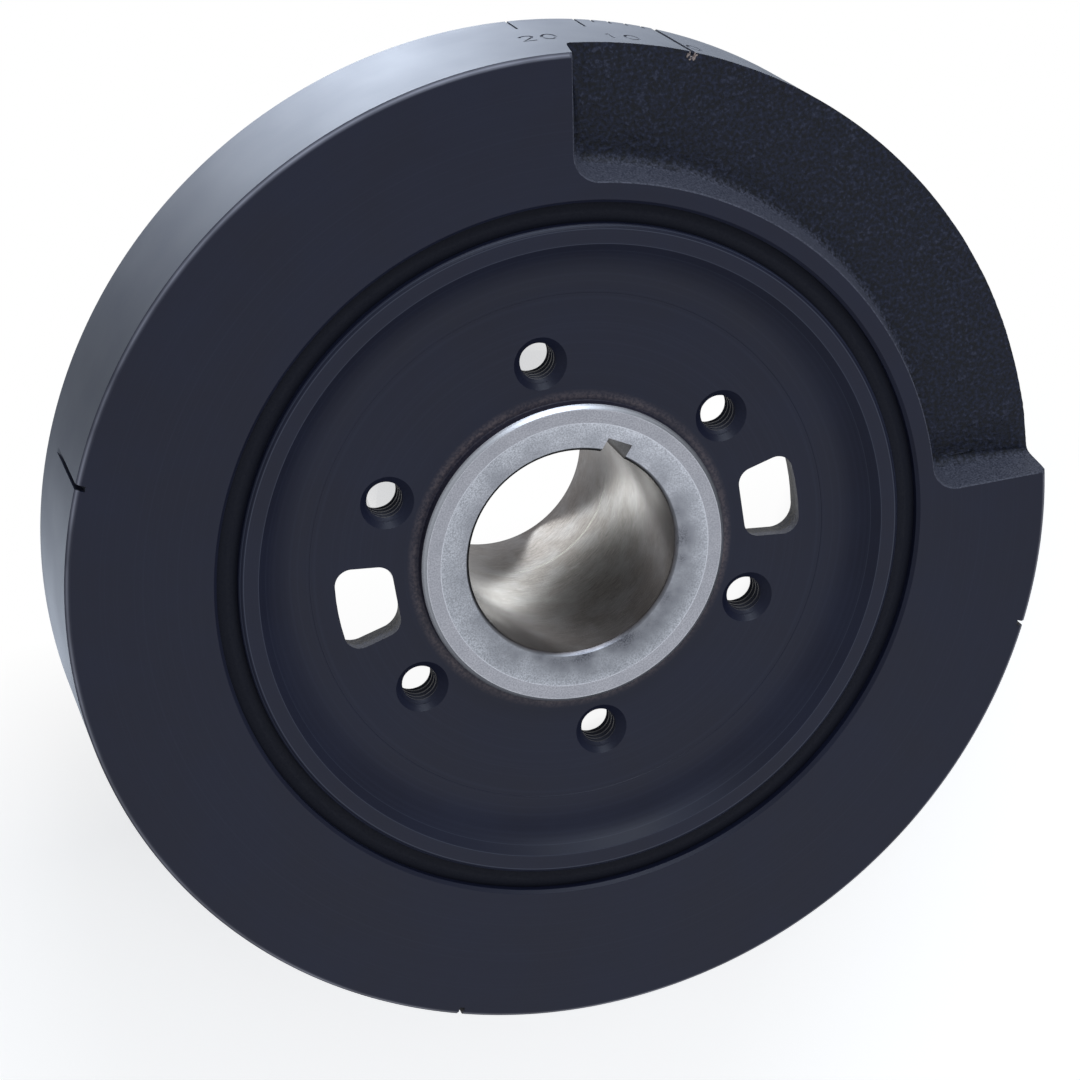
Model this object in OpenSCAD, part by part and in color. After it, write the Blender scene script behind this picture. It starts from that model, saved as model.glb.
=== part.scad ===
// Harmonic balancer: keyed hub, rubber ring and inertia ring, standing on the seal sleeve.
// The origin is the centre of the sleeve's rear end, +Z runs up the bore to the pulley side.

/* [Overall] */
// Height from the sleeve's rear end to the inertia ring's front face
overall_h = 62.5; // [56:0.5:80]

/* [Inertia ring] */
// Outside diameter of the inertia ring
ring_od = 184.15; // [176:0.05:200]
// Inside diameter of the inertia ring, where the rubber is pressed in
ring_id = 131.6; // [128:0.1:134]
// Width of the inertia ring along the bore
ring_w = 31; // [26:0.5:40]
// Chamfer on the ring's outer edges
ring_chamfer = 0.8; // [0.3:0.1:1.5]
// Chamfer on the ring's inner edges
ring_inner_chamfer = 0.6; // [0.2:0.1:1]

/* [Imbalance pocket] */
// Direction of the pocket's middle, from +X
pocket_dir = 38.6; // [30:0.1:48]
// Angle between the pocket's two end walls, at the face
pocket_span = 86.5; // [60:0.5:110]
// Radius of the pocket's inner wall, at the face
pocket_inner_r = 69.3; // [68:0.1:76]
// Depth of the pocket below the face
pocket_depth = 8.5; // [5:0.5:14]
// Draft of the pocket's cast walls, in degrees
pocket_draft = 12; // [5:1:15]
// Radius of the pocket's inner corners, at the face
pocket_corner_r = 5.2; // [5:0.1:7]
// Fillet between the pocket's walls and its floor
pocket_fillet = 2.5; // [1:0.1:2.5]

/* [Timing marks] */
// Direction of the zero mark, from +X
zero_dir = 66.2; // [60:0.1:74]
// Width of the zero mark and of the three service notches
notch_w = 1; // [0.6:0.1:2]
// Depth of the zero mark, which crosses the whole rim
zero_depth = 0.9; // [0.5:0.1:2]
// Depth of the three service notches at the front face
notch_depth = 1.7; // [1:0.1:3]
// Length over which the service notches run out to the rim
notch_run = 21; // [14:0.5:25]
// Angle from the zero mark to the first short tick
tick_first = 1.6; // [1.2:0.1:2.4]
// Angle from each tick to the next
tick_step = 2; // [1:0.5:2.4]
// Number of short ticks before the first long one
tick_count = 4; // [1:1:6]
// Angle from the first long tick to the second
tick_gap = 7.8; // [4:0.1:12]
// Length of a short tick
tick_short = 3; // [1:0.5:5]
// Length of a long tick
tick_long = 8; // [5:0.5:12]
// Width of a tick
tick_w = 0.45; // [0.3:0.05:0.8]
// Depth of a tick
tick_depth = 0.3; // [0.2:0.05:0.6]

/* [Rubber ring] */
// Thickness of the rubber between the ring and the hub's rim
rubber_t = 3.8; // [3:0.1:5]
// Depth of the rubber's two edges below the faces beside them
rubber_recess = 1.5; // [0.5:0.1:4]

/* [Hub rim] */
// Width of the flat land on the rim's front
rim_land = 3.5; // [2.5:0.1:4]
// Chamfer on the rim's outer edges
rim_chamfer = 0.6; // [0.2:0.1:1]
// Thickness of the rim's wall at its rear end
rim_wall = 7; // [5:0.5:9]
// Draft of the rim's cast inner wall, in degrees
rim_draft = 4; // [1:1:6]

/* [Hub web] */
// Drop from the ring's face to the web's front face
web_drop = 4.7; // [4.1:0.1:5.5]
// Thickness of the web
web_t = 7.2; // [6:0.1:10]
// Radius of the curve between the web and the rim's 45 degree slope
dish_r = 11; // [6:0.5:11]
// Radius of the cast fillets behind the web, next to the rim
cast_fillet = 5; // [3:0.5:7]

/* [Hub sleeve] */
// Drop from the ring's face to the sleeve's front end
nose_drop = 2; // [1:0.1:3]
// Diameter of the sleeve's front end
nose_d = 57.2; // [54:0.1:60]
// Chamfer around the sleeve's front end
nose_chamfer = 0.8; // [0.3:0.1:1.5]
// Diameter where the sleeve's flat front meets its shallow cone
cone_d = 50.4; // [48:0.1:53]
// Depth of that shallow cone
cone_depth = 1.6; // [0.5:0.1:2.5]
// Diameter of the thick part of the sleeve behind the web
boss_d = 59; // [56:0.5:61]
// Diameter of the polished sleeve that runs in the oil seal
seal_d = 50.8; // [46:0.1:54]
// Length of the polished sleeve
seal_len = 28; // [20:0.5:30]
// Chamfer on the polished sleeve's rear end
seal_chamfer = 1; // [0.5:0.1:2]
// Radius of the fillet between the polished sleeve and the thick part
seal_fillet = 1.5; // [0.5:0.1:1.9]

/* [Bore] */
// Diameter of the bore for the crankshaft
bore_d = 39; // [34:0.1:42]
// Chamfer at both ends of the bore
bore_chamfer = 0.6; // [0.3:0.1:1]
// Width of the keyway
key_w = 4.8; // [4:0.1:6.5]
// Depth of the keyway, from the bore's wall
key_depth = 2.9; // [2:0.1:3.5]
// Direction of the keyway, from +X
key_dir = 58.5; // [0:0.5:360]

/* [Pulley holes] */
// Number of threaded holes for the pulley
bolt_count = 6; // [3:1:6]
// Diameter of the circle through the holes' centres
bolt_pcd = 73; // [71:0.1:76]
// Diameter of each hole, taken halfway up its thread
bolt_hole_d = 7; // [5:0.1:8]
// Diameter of the countersink around each hole
bolt_sink_d = 9.8; // [8.5:0.1:10.5]
// Direction of the first hole, from +X
bolt_dir = 90; // [90:60:330]

/* [Web slots] */
// Number of slots through the web
slot_count = 2; // [1:1:2]
// Radius of each slot's inner side
slot_inner_r = 33.3; // [32:0.1:35]
// Radius of each slot's outer side
slot_outer_r = 44; // [42:0.1:45]
// Angle between each slot's two ends
slot_span = 21.6; // [18:0.1:24]
// Corner radius of each slot
slot_corner_r = 3; // [2:0.1:4]
// Growth of each slot towards the rear, on every side
slot_growth = 1.2; // [0.4:0.1:1.5]
// Direction of the first slot, from +X
slot_dir = 0; // [0:180:180]

/* [Hidden] */
$fn = 96;
// How far a cut runs past the surface it opens
clear = 1;
ring_r = ring_od / 2;
ring_in_r = ring_id / 2;
rim_r = ring_in_r - rubber_t;
seal_r = seal_d / 2;
boss_r = boss_d / 2;
nose_r = nose_d / 2;
face_z = overall_h;
back_z = face_z - ring_w;
nose_z = face_z - nose_drop;
web_z = face_z - web_drop;
web_back_z = web_z - web_t;
// The cone's small end stops at the bore's chamfer
cone_end_r = bore_d / 2 + bore_chamfer;
// Steps along the pocket's inner wall, round its corners and up its fillet
arc_steps = 36;
corner_steps = 6;
fillet_steps = 4;
// Radius through the centres of the pocket's corners
path_r = pocket_inner_r + pocket_corner_r;
corner_turn = asin(pocket_corner_r / path_r);
wall_dirs = [pocket_dir - pocket_span / 2, pocket_dir + pocket_span / 2];
turn_dirs = [wall_dirs[0] + corner_turn, wall_dirs[1] - corner_turn];
// Start of the arc between the dish's slope and the web
slope_r = rim_r - rim_land;
dish_foot_r = slope_r - web_drop;
dish_tan = dish_r * tan(22.5);
first_tick_dir = zero_dir + tick_first;
// Radius of the saw shape whose run-out leaves a service notch
saw_r = (pow(notch_run, 2) + pow(notch_depth, 2)) / (2 * notch_depth);

// A point at radius r in direction a
function polar(r, a) = [r * cos(a), r * sin(a)];

// A square-cornered fillet patch: fills the corner at the origin towards +X and +Y
module fillet_patch(r) {
    difference() {
        square(r);
        translate([r, r]) circle(r);
    }
}

// Half of the hub's section, from the axis out to the rim
module hub_section() {
    polygon([
        [0, 0],
        [seal_r - seal_chamfer, 0],
        [seal_r, seal_chamfer],
        [seal_r, seal_len],
        [boss_r - seal_fillet, seal_len],
        [boss_r, seal_len + seal_fillet],
        [boss_r, web_back_z],
        [rim_r, web_back_z],
        [rim_r, web_z],
        [nose_r, web_z],
        [nose_r, nose_z - nose_chamfer],
        [nose_r - nose_chamfer, nose_z],
        [cone_d / 2, nose_z],
        [0, nose_z]
    ]);
    translate([seal_r, seal_len]) mirror([0, 1]) fillet_patch(seal_fillet);
    translate([boss_r, web_back_z]) mirror([0, 1]) fillet_patch(seal_fillet);
    rim_section();
    dish_curve();
}

// The rim's part of the section: the front land, the 45 degree slope and the drafted inner wall
module rim_section() {
    inner_r = rim_r - rim_wall;
    top_r = inner_r - (web_back_z - back_z) * tan(rim_draft);
    polygon([
        [inner_r, back_z],
        [rim_r - rim_chamfer, back_z],
        [rim_r, back_z + rim_chamfer],
        [rim_r, face_z - rim_chamfer],
        [rim_r - rim_chamfer, face_z],
        [slope_r, face_z],
        [dish_foot_r, web_z],
        [top_r, web_back_z]
    ]);
    translate([top_r, web_back_z]) mirror([1, 0]) mirror([0, 1]) fillet_patch(cast_fillet);
}

// The curve that leads the slope down onto the web
module dish_curve() {
    top = [dish_foot_r + dish_tan * cos(45), web_z + dish_tan * sin(45)];
    difference() {
        polygon([[dish_foot_r - dish_tan, web_z], [dish_foot_r, web_z], top]);
        translate([dish_foot_r - dish_tan, web_z + dish_r]) circle(dish_r);
    }
}

// The bore with its chamfers, the shallow cone in the sleeve's front end and the keyway
module bore_cut() {
    translate([0, 0, -clear]) cylinder(d = bore_d, h = overall_h + 2 * clear);
    rotate_extrude() polygon([
        [0, -clear],
        [bore_d / 2 + bore_chamfer + clear, -clear],
        [bore_d / 2, bore_chamfer],
        [0, bore_chamfer]
    ]);
    rotate_extrude() polygon([
        [0, nose_z + clear],
        [0, nose_z - cone_depth - bore_chamfer],
        [bore_d / 2, nose_z - cone_depth - bore_chamfer],
        [cone_end_r, nose_z - cone_depth],
        [cone_d / 2, nose_z],
        [cone_d / 2, nose_z + clear]
    ]);
    rotate(key_dir)
        translate([0, -key_w / 2, -clear])
            cube([bore_d / 2 + key_depth, key_w, overall_h + 2 * clear]);
}

// One threaded hole with its countersink, centred on its own axis
module bolt_cut() {
    sink = (bolt_sink_d - bolt_hole_d) / 2;
    translate([0, 0, web_back_z - clear]) cylinder(d = bolt_hole_d, h = web_t + 2 * clear);
    translate([0, 0, web_z - sink])
        cylinder(d1 = bolt_hole_d, d2 = bolt_sink_d + 2 * clear, h = sink + clear);
}

// One slot through the web: rounded corners, a curved outer side and walls that open to the rear
module slot_cut() {
    taper = slot_growth / web_t;
    half_turn = slot_span / 2;
    inner_r = slot_inner_r + slot_corner_r;
    outer_r = slot_outer_r - slot_corner_r;
    inner_a = half_turn - asin(slot_corner_r / inner_r);
    outer_a = half_turn - asin(slot_corner_r / outer_r);
    spots = concat(
        [for (s = [-1, 1]) polar(inner_r, s * inner_a)],
        [for (s = [-1, -0.5, 0, 0.5, 1]) polar(outer_r, s * outer_a)]
    );
    hull() {
        for (p = spots)
            translate([p[0], p[1], web_back_z - clear])
                cylinder(
                    r1 = slot_corner_r + slot_growth + clear * taper,
                    r2 = slot_corner_r - clear * taper,
                    h = web_t + 2 * clear,
                    $fn = 32
                );
    }
}

module hub() {
    color([0.19, 0.20, 0.26])
        difference() {
            rotate_extrude() hub_section();
            bore_cut();
            for (i = [0 : bolt_count - 1])
                rotate(bolt_dir + i * 360 / bolt_count)
                    translate([bolt_pcd / 2, 0, 0]) bolt_cut();
            for (i = [0 : slot_count - 1])
                rotate(slot_dir + i * 360 / slot_count) slot_cut();
        }
}

module rubber_ring() {
    color([0.08, 0.09, 0.13])
        translate([0, 0, back_z + rubber_recess])
            difference() {
                cylinder(r = ring_in_r, h = ring_w - 2 * rubber_recess);
                translate([0, 0, -clear])
                    cylinder(r = rim_r, h = ring_w - 2 * rubber_recess + 2 * clear);
            }
}

// The pocket's outline at one depth: inset from the outline at the face, height above the face
function pocket_ring(inset, height) = [
    for (p = concat(
        [polar(ring_od, pocket_dir)],
        [polar(ring_od, wall_dirs[0]) + polar(inset, wall_dirs[0] + 90)],
        corner_points(inset, turn_dirs[0], wall_dirs[0] - 90),
        [for (i = [1 : arc_steps - 1])
            polar(pocket_inner_r + inset, turn_dirs[0] + i * (turn_dirs[1] - turn_dirs[0]) / arc_steps)],
        corner_points(inset, turn_dirs[1], turn_dirs[1] + 180),
        [polar(ring_od, wall_dirs[1]) - polar(inset, wall_dirs[1] + 90)]
    )) [p[0], p[1], face_z + height]
];

// One rounded corner of that outline, from the direction start
function corner_points(inset, dir, start) = [
    for (i = [0 : corner_steps])
        polar(path_r, dir) + polar(pocket_corner_r - inset, start - i * (90 - corner_turn) / corner_steps)
];

// The pocket: its outline sinks along the drafted wall, then round the fillet to the floor
// Both flat lids start at the outline's outer point, from which all of it can be seen
module pocket_cut() {
    wall_h = pocket_depth - pocket_fillet * (1 - sin(pocket_draft));
    wall_run = wall_h * tan(pocket_draft);
    levels = concat(
        [[-clear * tan(pocket_draft), clear]],
        [for (k = [0 : fillet_steps])
            let (a = pocket_draft + k * (90 - pocket_draft) / fillet_steps)
            [
                wall_run + pocket_fillet * (cos(pocket_draft) - cos(a)),
                -wall_h - pocket_fillet * (sin(a) - sin(pocket_draft))
            ]]
    );
    rings = [for (level = levels) pocket_ring(level[0], level[1])];
    n = len(rings[0]);
    last = len(rings) - 1;
    polyhedron(
        points = [for (ring = rings) each ring],
        faces = concat(
            [[for (i = [0 : n - 1]) i]],
            [for (k = [0 : last - 1]) for (i = [0 : n - 1])
                [k * n + i, (k + 1) * n + i, (k + 1) * n + (i + 1) % n, k * n + (i + 1) % n]],
            [[for (i = [n : -1 : 1]) last * n + i % n]]
        )
    );
}

// One service notch: deep at the front face and running out towards the rear
module notch_cut() {
    translate([ring_r - notch_depth + saw_r, 0, face_z])
        rotate([90, 0, 0]) cylinder(r = saw_r, h = notch_w, center = true, $fn = 4 * $fn);
}

// One degree tick at the rim's rear edge, len long
module tick_cut(len) {
    translate([ring_r - tick_depth, -tick_w / 2, back_z - clear])
        cube([tick_depth + clear, tick_w, len + clear]);
}

module inertia_ring() {
    color([0.19, 0.20, 0.26])
        difference() {
            rotate_extrude() polygon([
                [ring_in_r + ring_inner_chamfer, back_z],
                [ring_r - ring_chamfer, back_z],
                [ring_r, back_z + ring_chamfer],
                [ring_r, face_z - ring_chamfer],
                [ring_r - ring_chamfer, face_z],
                [ring_in_r + ring_inner_chamfer, face_z],
                [ring_in_r, face_z - ring_inner_chamfer],
                [ring_in_r, back_z + ring_inner_chamfer]
            ]);
            pocket_cut();
            rotate(zero_dir)
                translate([ring_r - zero_depth, -notch_w / 2, back_z - clear])
                    cube([zero_depth + clear, notch_w, ring_w + 2 * clear]);
            for (i = [1 : 3])
                rotate(zero_dir + i * 90) notch_cut();
            for (i = [0 : tick_count - 1])
                rotate(first_tick_dir + i * tick_step) tick_cut(tick_short);
            for (a = [0, tick_gap])
                rotate(first_tick_dir + tick_count * tick_step + a) tick_cut(tick_long);
        }
}

hub();
rubber_ring();
inertia_ring();
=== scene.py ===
# %% [markdown]
# # Harmonic balancer
# A harmonic balancer is pressed on the nose of a crankshaft and soaks up its twist. It is three
# pieces: a cast and turned iron hub, a heavy iron ring round it, and a rubber ring squeezed
# between them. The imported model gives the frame: where each piece is and how big it is. This
# script builds the same three pieces again with the detail that a camera sees.

# %% Load the frame
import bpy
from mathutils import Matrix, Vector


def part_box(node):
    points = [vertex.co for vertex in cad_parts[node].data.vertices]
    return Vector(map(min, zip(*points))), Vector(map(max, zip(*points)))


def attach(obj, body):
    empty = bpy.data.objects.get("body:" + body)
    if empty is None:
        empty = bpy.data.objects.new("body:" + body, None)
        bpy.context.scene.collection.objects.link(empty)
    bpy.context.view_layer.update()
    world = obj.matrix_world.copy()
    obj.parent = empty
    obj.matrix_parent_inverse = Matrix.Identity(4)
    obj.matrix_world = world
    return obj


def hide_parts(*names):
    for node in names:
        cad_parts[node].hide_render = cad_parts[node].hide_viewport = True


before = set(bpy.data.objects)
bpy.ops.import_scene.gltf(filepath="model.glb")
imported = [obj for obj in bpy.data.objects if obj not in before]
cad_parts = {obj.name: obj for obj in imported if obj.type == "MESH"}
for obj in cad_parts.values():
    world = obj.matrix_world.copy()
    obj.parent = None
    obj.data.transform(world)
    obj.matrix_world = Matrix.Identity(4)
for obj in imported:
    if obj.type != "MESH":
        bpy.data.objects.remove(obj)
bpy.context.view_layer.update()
print("frame nodes:", sorted(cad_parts))

# %% Modules
import math

import bmesh
import bpy
from mathutils import Matrix, Quaternion, Vector, noise

# %% [markdown]
# ## Units and the sizes that the pieces share
# The frame is in metres, but a machinist thinks of this part in millimetres, so every size below
# is in millimetres and MM turns it to metres. Diameters that the frame already knows are read
# from its boxes. The rest are the hub's and the ring's own drawing sizes.

# %% Shared sizes
MM = 0.001
ring_low, ring_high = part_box("inertia_ring")
hub_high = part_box("hub")[1]
RING_R = ring_high.x / MM
FACE_Z = ring_high.z / MM
BACK_Z = ring_low.z / MM
RIM_R = hub_high.x / MM
RING_BORE_R = 65.8
RUBBER_RECESS = 1.5
GROOVE_CHAMFER = 0.6
print(f"ring radius {RING_R:.2f}, front face at {FACE_Z:.1f}, back face at {BACK_Z:.1f} mm")


def polar(radius, degrees, height=0.0):
    """A point in metres, from a radius in millimetres, a direction from +X and a height."""
    turn = math.radians(degrees)
    return Vector((radius * math.cos(turn), radius * math.sin(turn), height)) * MM


# %% [markdown]
# ## The camera
# The photograph looks down on the front face from 27 degrees off the bore's axis, through a long
# lens. Circles in the picture fix that angle: the face, the groove and the bore are all circles
# of known size. The part stands on its sleeve here, so the camera looks down at it and is rolled
# about its own axis until the pulley holes stand where the picture has them.

# %% Camera
CAMERA_AZIMUTH = 120.17
CAMERA_ELEVATION = 63.39
CAMERA_ROLL = 137.66
CAMERA_DISTANCE = 532.2
CAMERA_AIM = Vector((2.65, 9.82, 62.5)) * MM
CAMERA_LENS = 99.35
CAMERA_SHIFT = (-0.0420, -0.0307)

sight = polar(math.cos(math.radians(CAMERA_ELEVATION)), CAMERA_AZIMUTH) / MM
sight.z = math.sin(math.radians(CAMERA_ELEVATION))
camera_data = bpy.data.cameras.new("camera")
camera_data.lens = CAMERA_LENS
camera_data.shift_x, camera_data.shift_y = CAMERA_SHIFT
camera_data.clip_start = 0.01
camera = bpy.data.objects.new("camera", camera_data)
camera.location = CAMERA_AIM + sight * CAMERA_DISTANCE * MM
camera.rotation_mode = "QUATERNION"
roll = Quaternion((0, 0, 1), math.radians(CAMERA_ROLL))
camera.rotation_quaternion = sight.to_track_quat("Z", "Y") @ roll
bpy.context.scene.collection.objects.link(camera)
bpy.context.scene.camera = camera
bpy.context.view_layer.update()
camera_axes = [tuple(round(x, 3) for x in camera.matrix_world.col[i][:3]) for i in (0, 1)]
print("camera right and up:", camera_axes)

# %% [markdown]
# ## Turning on a lathe: an outline spun round the bore
# All three pieces are turned parts, so each starts as an outline of radius and height that spins
# once round the Z axis. A cutting tool never leaves a mathematically sharp corner, and paint
# rounds it further. So each corner of an outline is given with its own small radius, and
# rounded() swaps it for an arc. The same function draws the dish's big curve of 11 mm radius.

# %% Lathe helpers
SPIN_STEPS = 360
ARC_STEP_MM = 0.5
ARC_STEP_MAX = math.radians(22)


def rounded(corners):
    """Swap each (radius, height, ease) corner of a closed outline for an arc of radius ease."""
    points = []
    for i, (r, z, ease) in enumerate(corners):
        here = Vector((r, z))
        before = (Vector(corners[i - 1][:2]) - here).normalized()
        after = (Vector(corners[(i + 1) % len(corners)][:2]) - here).normalized()
        half = before.angle(after) / 2
        if not ease:
            points.append(here)
            continue
        centre = here + (before + after).normalized() * ease / math.sin(half)
        start = here + before * ease / math.tan(half) - centre
        end = here + after * ease / math.tan(half) - centre
        turn = math.pi - 2 * half
        steps = max(2, math.ceil(turn / ARC_STEP_MAX), round(turn * ease / ARC_STEP_MM))
        for k in range(steps + 1):
            points.append(centre + start.lerp(end, k / steps).normalized() * ease)
    return points


def revolve(corners, steps=SPIN_STEPS):
    """Spin a closed outline, in millimetres, once round the Z axis."""
    bm = bmesh.new()
    verts = [bm.verts.new((p[0] * MM, 0, p[1] * MM)) for p in rounded(corners)]
    edges = [bm.edges.new(pair) for pair in zip(verts, verts[1:] + verts[:1])]
    bmesh.ops.spin(bm, geom=verts + edges, cent=(0, 0, 0), axis=(0, 0, 1),
                   angle=2 * math.pi, steps=steps, use_merge=True)
    bmesh.ops.recalc_face_normals(bm, faces=bm.faces)
    return bm


def make_object(name, bm):
    """Turn a bmesh into an object that sits at the origin."""
    mesh = bpy.data.meshes.new(name)
    bm.to_mesh(mesh)
    bm.free()
    piece = bpy.data.objects.new(name, mesh)
    bpy.context.scene.collection.objects.link(piece)
    return piece


# %% [markdown]
# ## The hub's blank
# The hub is one iron casting, turned all over its front. From the bore outwards its outline is a
# shallow cone, a flat ring and a chamfer on the sleeve's end, then the flat web, the dish's curve
# up to the rim and the rim's flat land. Behind the web a boss steps down to the sleeve that turns
# in the oil seal. A fine groove in the bore and a faint step on the web are where a tool stopped.

# %% Hub outline
BORE_R = 19.5
BORE_CHAMFER = 0.6
WEB_Z = FACE_Z - 4.7
WEB_BACK_Z = WEB_Z - 7.2
NOSE_Z = FACE_Z - 2.0
NOSE_R = 28.6
NOSE_CHAMFER = 0.8
CONE_R = 25.2
CONE_DROP = 1.6
SEAL_R = 25.4
SEAL_LEN = 28.0
BOSS_R = 29.5
SLOPE_R = RIM_R - 3.5
DISH_FOOT_R = SLOPE_R - (FACE_Z - WEB_Z)
RIM_INNER_R = RIM_R - 7.0
RIM_DRAFT = math.radians(4)
RIM_TOP_R = RIM_INNER_R - (WEB_BACK_Z - BACK_Z) * math.tan(RIM_DRAFT)
DISH_CURVE_R = 11.0
TOOL_STOP_R = 48.5
TOOL_STEP = 0.07
SCRIBE_Z = 17.8
SCRIBE_DEPTH = 0.07
EDGE = 0.12

hub_outline = [
    (BORE_R, BORE_CHAMFER, 0),
    (BORE_R + BORE_CHAMFER, 0, EDGE),
    (SEAL_R - 1, 0, EDGE),
    (SEAL_R, 1, EDGE),
    (SEAL_R, SEAL_LEN, 1.5),
    (BOSS_R - 1.5, SEAL_LEN, EDGE),
    (BOSS_R, SEAL_LEN + 1.5, EDGE),
    (BOSS_R, WEB_BACK_Z, 1.5),
    (RIM_TOP_R, WEB_BACK_Z, 5),
    (RIM_INNER_R, BACK_Z, 1.2),
    (RIM_R - GROOVE_CHAMFER, BACK_Z, EDGE),
    (RIM_R, BACK_Z + GROOVE_CHAMFER, EDGE),
    (RIM_R, FACE_Z - GROOVE_CHAMFER, EDGE),
    (RIM_R - GROOVE_CHAMFER, FACE_Z, EDGE),
    (SLOPE_R, FACE_Z, EDGE),
    (DISH_FOOT_R, WEB_Z + TOOL_STEP, DISH_CURVE_R),
    (TOOL_STOP_R + TOOL_STEP, WEB_Z + TOOL_STEP, 0),
    (TOOL_STOP_R, WEB_Z, 0),
    (NOSE_R, WEB_Z, 0.3),
    (NOSE_R, NOSE_Z - NOSE_CHAMFER, EDGE),
    (NOSE_R - NOSE_CHAMFER, NOSE_Z, EDGE),
    (CONE_R, NOSE_Z, EDGE),
    (BORE_R + BORE_CHAMFER, NOSE_Z - CONE_DROP, EDGE),
    (BORE_R, NOSE_Z - CONE_DROP - BORE_CHAMFER, EDGE),
    (BORE_R, SCRIBE_Z + SCRIBE_DEPTH, 0),
    (BORE_R + SCRIBE_DEPTH, SCRIBE_Z, 0),
    (BORE_R, SCRIBE_Z - SCRIBE_DEPTH, 0),
]
hub = make_object("hub_casting", revolve(hub_outline))
print("hub blank:", len(hub.data.polygons), "faces")

# %% [markdown]
# ## Cutting tools
# Holes, slots and marks are cut the way a workshop cuts them: a tool with the shape of the hole
# is made, and what it overlaps is taken off the blank. A Boolean modifier does that. Its exact
# solver keeps the blank closed. The tools that cut one blank in one pass don't touch each other.

# %% Carving
def carve(piece, bm):
    """Cut everything that the tool mesh overlaps away from a piece, and drop the tool."""
    bmesh.ops.recalc_face_normals(bm, faces=bm.faces)
    tool = make_object("tool", bm)
    cut = piece.modifiers.new("cut", "BOOLEAN")
    cut.operation = "DIFFERENCE"
    cut.solver = "EXACT"
    cut.object = tool
    bpy.context.view_layer.update()
    carved = piece.evaluated_get(bpy.context.evaluated_depsgraph_get())
    mesh = bpy.data.meshes.new_from_object(carved)
    piece.modifiers.clear()
    piece.data = mesh
    bpy.data.objects.remove(tool)
    return piece


def turned(degrees):
    """The matrix that turns a tool round the bore."""
    return Matrix.Rotation(math.radians(degrees), 4, "Z")


def box_tool(bm, low, high, degrees):
    """Add a box from two corners in millimetres, then turn it round the bore."""
    size = Matrix.Diagonal([(b - a) * MM for a, b in zip(low, high)] + [1])
    middle = Matrix.Translation([(a + b) / 2 * MM for a, b in zip(low, high)])
    bmesh.ops.create_cube(bm, size=1, matrix=turned(degrees) @ middle @ size)


# %% [markdown]
# ## Threaded pulley holes
# Six holes take the pulley's bolts, and their threads show as fine dark ridges. A screw thread is
# an outline of ridges that climbs by one pitch in one turn. bmesh's spin does this when it gets a
# step along the axis. The start and the end of that turn then meet one pitch apart, so merging
# them gives one endless ridge. Two cuts make its ends flat, and the tool is a true tap.

# %% Tap and countersink tools
HOLE_COUNT = 6
HOLE_CIRCLE_R = 36.5
HOLE_DIR = 90
PITCH = 25.4 / 18
THREAD_MINOR_R = 3.3
THREAD_MAJOR_R = 3.92
THREAD_STEPS = 36
SINK_R = 4.9
CLEAR = 1.0

thread_ridge = [
    (0, THREAD_MINOR_R),
    (0.25, THREAD_MINOR_R),
    (0.56, THREAD_MAJOR_R),
    (0.69, THREAD_MAJOR_R),
]


def tap_tool(bm, place):
    """Add one screw-shaped tool that reaches through the web, moved by the matrix place."""
    tap = bmesh.new()
    turns = math.ceil((WEB_Z - WEB_BACK_Z) / PITCH) + 4
    foot = WEB_BACK_Z - 2 * PITCH
    line = [(r, foot + (turn + share) * PITCH) for turn in range(turns) for share, r in thread_ridge]
    verts = [tap.verts.new((r * MM, 0, z * MM)) for r, z in line]
    edges = [tap.edges.new(pair) for pair in zip(verts, verts[1:])]
    bmesh.ops.spin(tap, geom=verts + edges, cent=(0, 0, 0), axis=(0, 0, 1), angle=2 * math.pi,
                   dvec=(0, 0, PITCH * MM / THREAD_STEPS), steps=THREAD_STEPS, use_merge=False)
    bmesh.ops.remove_doubles(tap, verts=tap.verts, dist=0.001 * MM)
    for height, side in ((WEB_BACK_Z - CLEAR / 2, -1), (WEB_Z + CLEAR / 2, 1)):
        bmesh.ops.bisect_plane(tap, geom=tap.verts[:] + tap.edges[:] + tap.faces[:],
                               plane_co=(0, 0, height * MM), plane_no=(0, 0, side), clear_outer=True)
    bmesh.ops.holes_fill(tap, edges=[e for e in tap.edges if e.is_boundary])
    bmesh.ops.transform(tap, matrix=place, verts=tap.verts)
    mesh = bpy.data.meshes.new("tap")
    tap.to_mesh(mesh)
    tap.free()
    bm.from_mesh(mesh)
    bpy.data.meshes.remove(mesh)


def hole_places():
    """Where each pulley hole is, as a matrix that moves a tool there from the axis."""
    for i in range(HOLE_COUNT):
        yield Matrix.Translation(polar(HOLE_CIRCLE_R, HOLE_DIR + i * 360 / HOLE_COUNT))


taps = bmesh.new()
for place in hole_places():
    tap_tool(taps, place)
carve(hub, taps)
print("threaded holes cut:", HOLE_COUNT, "with pitch", round(PITCH, 3), "mm")

# %% [markdown]
# ## Countersinks, web slots and the keyway
# Each slot's walls open towards the rear, because the sand core that left the slot had to be
# pulled out that way. A tapered tool of that shape is the hull of seven pairs of circles, two at
# its inner corners and five along its curved outer side. Countersinks are cones, and the keyway is
# what a square broach leaves.

# %% Slot, countersink and keyway tools
SLOT_DIRS = (0, 180)
SLOT_INNER_R = 33.3
SLOT_OUTER_R = 44.0
SLOT_SPAN = 21.6
SLOT_CORNER = 3.0
SLOT_GROWTH = 1.2
KEY_DIR = 58.5
KEY_W = 4.8
KEY_DEPTH = 2.9


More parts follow.
